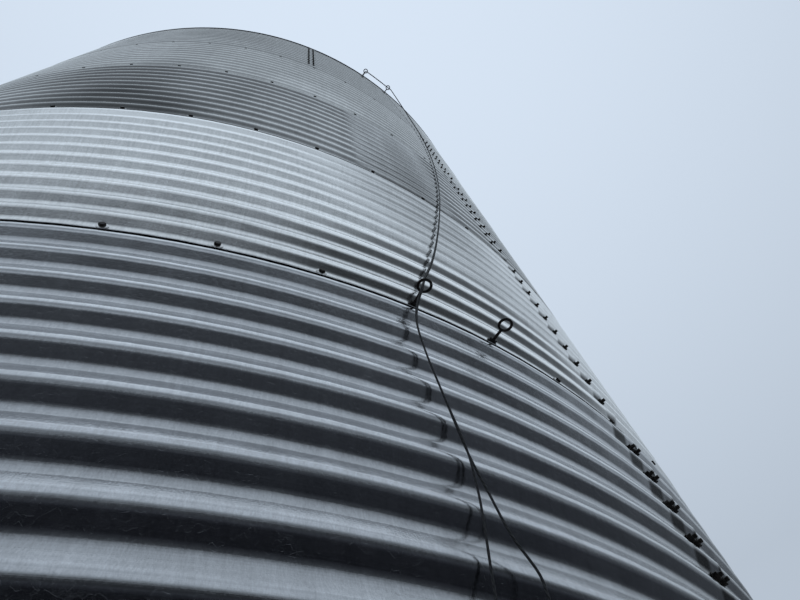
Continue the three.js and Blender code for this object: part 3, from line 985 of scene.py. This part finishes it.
def roof_profile():
    """A panel's section, from its turned edge at the eave up the underside and back down the top."""
    inner = COLLAR_OUTSIDE + GAP
    outer = EAVE_RADIUS - 0.002
    under = EAVE_RADIUS - ROOF_SHEET
    lip = roof_top(EAVE_RADIUS) - ROOF_LIP
    upright = ROOF_SHEET / math.cos(ROOF_ANGLE)
    slope = [inner + (outer - inner) * i / ROOF_STEPS for i in range(ROOF_STEPS + 1)]
    profile = [(under, lip), (under, roof_top(under) - upright)]
    profile += [(radius, roof_top(radius) - upright) for radius in reversed(slope[:-1])]
    profile += [(radius, roof_top(radius)) for radius in slope]
    profile += [
        (EAVE_RADIUS - 0.0005, roof_top(EAVE_RADIUS) - 0.0005),
        (EAVE_RADIUS, roof_top(EAVE_RADIUS) - 0.002),
        (EAVE_RADIUS, lip + 0.0005),
        (EAVE_RADIUS - 0.0004, lip),
    ]
    return profile


def add_roof():
    profile = roof_profile()
    sector = 2 * math.pi / ROOF_SECTORS
    highest, lowest = RIB_STARTS + 0.05, RIB_ENDS - 0.07
    bolts = []
    for n in range(ROOF_SECTORS):
        start = n * sector + SECTOR_GAP
        vertices, faces, uvs = turned_about_axis(
            profile, start, start + sector - 2 * SECTOR_GAP, SECTOR_STEPS
        )
        for panel in range(PANELS_PER_SECTOR):
            azimuth = n * sector + panel * sector / PANELS_PER_SECTOR
            rib_vertices, rib_faces, rib_uvs = roof_rib(azimuth)
            first = len(vertices)
            vertices += rib_vertices
            faces += [tuple(v + first for v in face) for face in rib_faces]
            uvs += rib_uvs
            up = at(azimuth, math.sin(ROOF_ANGLE), math.cos(ROOF_ANGLE))
            for i in range(RIB_BOLTS):
                radius = highest + (lowest - highest) * i / (RIB_BOLTS - 1)
                bolts.append((roof_point(azimuth, RIB_BOLT_ACROSS, radius, 0.0014), up))
        piece = add_piece(
            f"roof_panels_{n + 1}", vertices, faces, [ZINC_ROOF], uvs, sharp=20.0
        )
        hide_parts(f"roof_sector_{n + 1}")
    add_bolts("roof_bolts", BOLT_HEAD, bolts)


def add_round(name, profile, cad_node):
    """A round piece of the peak, from its profile of (radius, height) points."""
    vertices, faces, uvs = turned_about_axis(profile, 0, 2 * math.pi, 96)
    piece = add_piece(name, vertices, faces, [ZINC_ROOF], uvs)
    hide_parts(cad_node)


def add_collar():
    """The collar with its flange on the roof, a weld, and a bead at its upper edge."""
    inside = COLLAR_RADIUS - COLLAR_THICKNESS / 2
    outside = COLLAR_OUTSIDE
    flange = outside + 0.030
    bead = outside + 0.002
    profile = [
        (inside, roof_top(outside) - ROOF_SKIN),
        (outside, roof_top(outside) - ROOF_SKIN),
        (outside, roof_top(outside) + 0.0002),
        (flange, roof_top(flange) + 0.0002),
        (flange, roof_top(flange) + 0.0022),
        (outside + 0.003, roof_top(outside + 0.003) + 0.0024),
        (outside, roof_top(outside) + 0.006),
        (outside, COLLAR_TOP - 0.010),
        (bead, COLLAR_TOP - 0.008),
        (bead, COLLAR_TOP - 0.003),
        (outside, COLLAR_TOP - 0.001),
        (inside + 0.001, COLLAR_TOP - 0.001),
        (inside, COLLAR_TOP - 0.002),
    ]
    add_round("round_collar", profile, "peak_collar")


def add_lid():
    """The cone lid, with a raised bead round it and a rim that ends in a rolled edge."""
    outside = LID_OUTSIDE
    top = LID_EDGE + LID_RISE + LID_THICKNESS
    foot = LID_EDGE - LID_RIM

    def on_cone(radius, above=0.0):
        return radius, top - radius * LID_RISE / outside + above

    upper = [(AXIS_HOLE, top), on_cone(0.06), on_cone(0.20)]
    bead = [on_cone(0.262), on_cone(0.268, 0.003), on_cone(0.276, 0.003), on_cone(0.282)]
    rim = [
        on_cone(outside - 0.012, -0.0005),
        (outside - 0.004, LID_EDGE + 0.004),
        (outside - 0.0008, LID_EDGE - 0.001),
        (outside - 0.001, foot + 0.008),
        (outside, foot + 0.005),
        (outside, foot + 0.001),
        (outside - 0.002, foot),
        (LID_RADIUS + 0.002, foot),
        (LID_RADIUS, foot + 0.002),
    ]
    profile = upper + bead + rim + [(LID_RADIUS, LID_EDGE), (AXIS_HOLE, top - LID_THICKNESS)]
    add_round("cone_lid", profile[::-1], "peak_lid")


# The lever and the line's hitch


LEVER_EDGE = 0.0015
HITCH_TURNS = 2
HITCH_STARTS = 0.3805  # along the lever


def lever_point(along, across, above):
    """A point of the lever: along it from the axis, across it, and above its underside."""
    fall = LID_RISE / LID_OUTSIDE
    height = LID_EDGE + LID_THICKNESS + GAP + (LID_OUTSIDE - along) * fall + above
    azimuth = LEVER_BOLT * BOLT_ANGLE
    return at(azimuth, along, height) + at(azimuth + math.pi / 2, across, 0)


def add_lever():
    side, edge, top = LEVER_WIDTH / 2, LEVER_EDGE, LEVER_THICKNESS
    section = [(-side, edge), (-side, top - edge), (-side + edge, top), (side - edge, top)]
    section += [(side, top - edge), (side, edge), (side - edge, 0), (-side + edge, 0)]
    stations = [  # distance along it, and part of its width
        (0.020, 0.75),
        (0.0205, 0.9),
        (0.026, 1.0),
        (0.200, 1.0),
        (0.385, 1.0),
        (0.394, 0.9),
        (0.400, 0.62),
    ]
    vertices = [lever_point(along, t * part, h) for along, part in stations for t, h in section]
    faces = section_faces(len(section), len(stations))
    piece = add_piece("lever_bar", vertices, faces, [EYE_STEEL])
    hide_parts("lid_lever")
    up = (lever_point(0.1, 0, 1) - lever_point(0.1, 0, 0)).normalized()
    places = [(lever_point(along, 0, LEVER_THICKNESS - 0.0002), up) for along in (0.06, 0.22)]
    add_bolts("lever_bolts", BOLT_HEAD, places)


def add_hitch():
    """Turns of the line round the lever, over its tied ends."""
    clear = 0.0004 + LINE_DIAMETER / 2
    half_width, half_height = LEVER_WIDTH / 2 + clear, LEVER_THICKNESS / 2 + clear
    corner = 0.0040  # bend of the line's middle round the lever's edges
    loop = []
    for k, (sx, sy) in enumerate(((1, -1), (1, 1), (-1, 1), (-1, -1))):
        for step in range(5):
            turn = math.pi / 2 * (k - 1 + step / 4)
            across = sx * (half_width - corner) + corner * math.cos(turn)
            above = sy * (half_height - corner) + corner * math.sin(turn)
            loop.append((across, above))
    route = []
    for i in range(HITCH_TURNS * len(loop)):
        across, above = loop[i % len(loop)]
        along = HITCH_STARTS + 2 * STRAND_SPREAD * i / len(loop)
        route.append(lever_point(along, across, LEVER_THICKNESS / 2 + above))
    vertices, faces, uvs = tube(route, LINE_DIAMETER / 2, LINE_SIDES)
    return add_piece("line_hitch", vertices, faces, [CORD], uvs)


# Stage and light


FLOOR_MIDDLE = 12.0
FLOOR_EDGE = 72.0
FLOOR_SIDES = 96


def add_stage():
    """A wide pale floor, of which only the middle shows in the silo's reflections."""
    material, tree, shader = new_material("pale_floor")
    place = node(tree, "ShaderNodeTexCoord").outputs["Object"]
    grey = remap(tree, noise(tree, place, (0.5, 0.5, 0.5), 4), 0.3, 0.7, 0.60, 0.64)
    colour = node(tree, "ShaderNodeCombineColor", grey, grey, grey).outputs[0]
    tree.links.new(colour, shader.inputs["Base Color"])
    shader.inputs["Roughness"].default_value = 0.9
    azimuths = [2 * math.pi * i / FLOOR_SIDES for i in range(FLOOR_SIDES)]
    middle = [at(azimuth, FLOOR_MIDDLE, 0) for azimuth in azimuths]
    edge = [at(azimuth, FLOOR_EDGE, 0) for azimuth in azimuths]
    ahead = [(i + 1) % FLOOR_SIDES for i in range(FLOOR_SIDES)]
    ring = [(i, i + FLOOR_SIDES, j + FLOOR_SIDES, j) for i, j in enumerate(ahead)]
    for name, vertices, faces in (
        ("floor_middle", middle, [tuple(range(FLOOR_SIDES))]),
        ("floor_edge", middle + edge, ring),
    ):
        mesh = bpy.data.meshes.new(name)
        mesh.from_pydata(vertices, [], faces)
        mesh.materials.append(material)
        floor = bpy.data.objects.new(name, mesh)
        bpy.context.scene.collection.objects.link(floor)
        floor.visible_glossy = name == "floor_middle"


SKY_STOPS = [  # brightness of the dome from the horizon up to overhead
    (0.0, 0.015), (0.09, 0.026), (0.17, 0.040), (0.26, 0.058), (0.34, 0.070), (0.42, 0.094),
    (0.46, 0.145), (0.50, 0.275), (0.57, 0.420), (0.64, 0.515), (0.71, 0.585), (0.77, 0.635),
    (0.82, 0.675), (0.90, 0.675), (0.98, 0.730), (1.0, 0.89),
]
SKY_LOW = (0.47, 0.54, 0.63)
SKY_HIGH = (0.69, 0.79, 0.92)


def dome_colour(height, grey):
    """Bluer near the horizon."""
    return 0.87 * grey, grey, (1.30 - 0.34 * min(height, 0.5)) * grey


def add_sky():
    """A soft overcast dome with a dark horizon, a little brighter at both sides, and plain pale where the
    camera looks straight at it."""
    world = bpy.data.worlds.new("studio")
    bpy.context.scene.world = world
    world.use_nodes = True
    tree = world.node_tree
    background = tree.nodes["Background"]
    direction = node(tree, "ShaderNodeTexCoord").outputs["Generated"]
    parts = node(tree, "ShaderNodeSeparateXYZ", direction)
    squared = math_node(tree, "POWER", parts.outputs[2], 2)
    level = math_node(tree, "SQRT", math_node(tree, "SUBTRACT", 1.0001, squared))
    sideways = math_node(tree, "DIVIDE", parts.outputs[0], level)
    right = remap(tree, sideways, 0.74, 0.95, 0.0, 0.10)
    left = remap(tree, sideways, -0.25, -0.70, 0.0, 0.04)
    height = summed(tree, parts.outputs[2], right, left)
    dome = ramp(tree, height, [(place, dome_colour(place, grey)) for place, grey in SKY_STOPS])
    plain = ramp(tree, remap(tree, parts.outputs[2], 0.5, 1.0, 0, 1), [(0, SKY_LOW), (1, SKY_HIGH)])
    seen = node(tree, "ShaderNodeLightPath").outputs["Is Camera Ray"]
    tree.links.new(blended(tree, seen, dome, plain), background.inputs["Color"])
    bpy.context.scene.view_settings.view_transform = "Standard"


add_camera()
add_line(add_hitch())
add_base_ring()
add_wall()
add_wall_bolts()
add_eye_bolts()
add_roof()
add_collar()
add_lid()
add_lever()
add_stage()
add_sky()
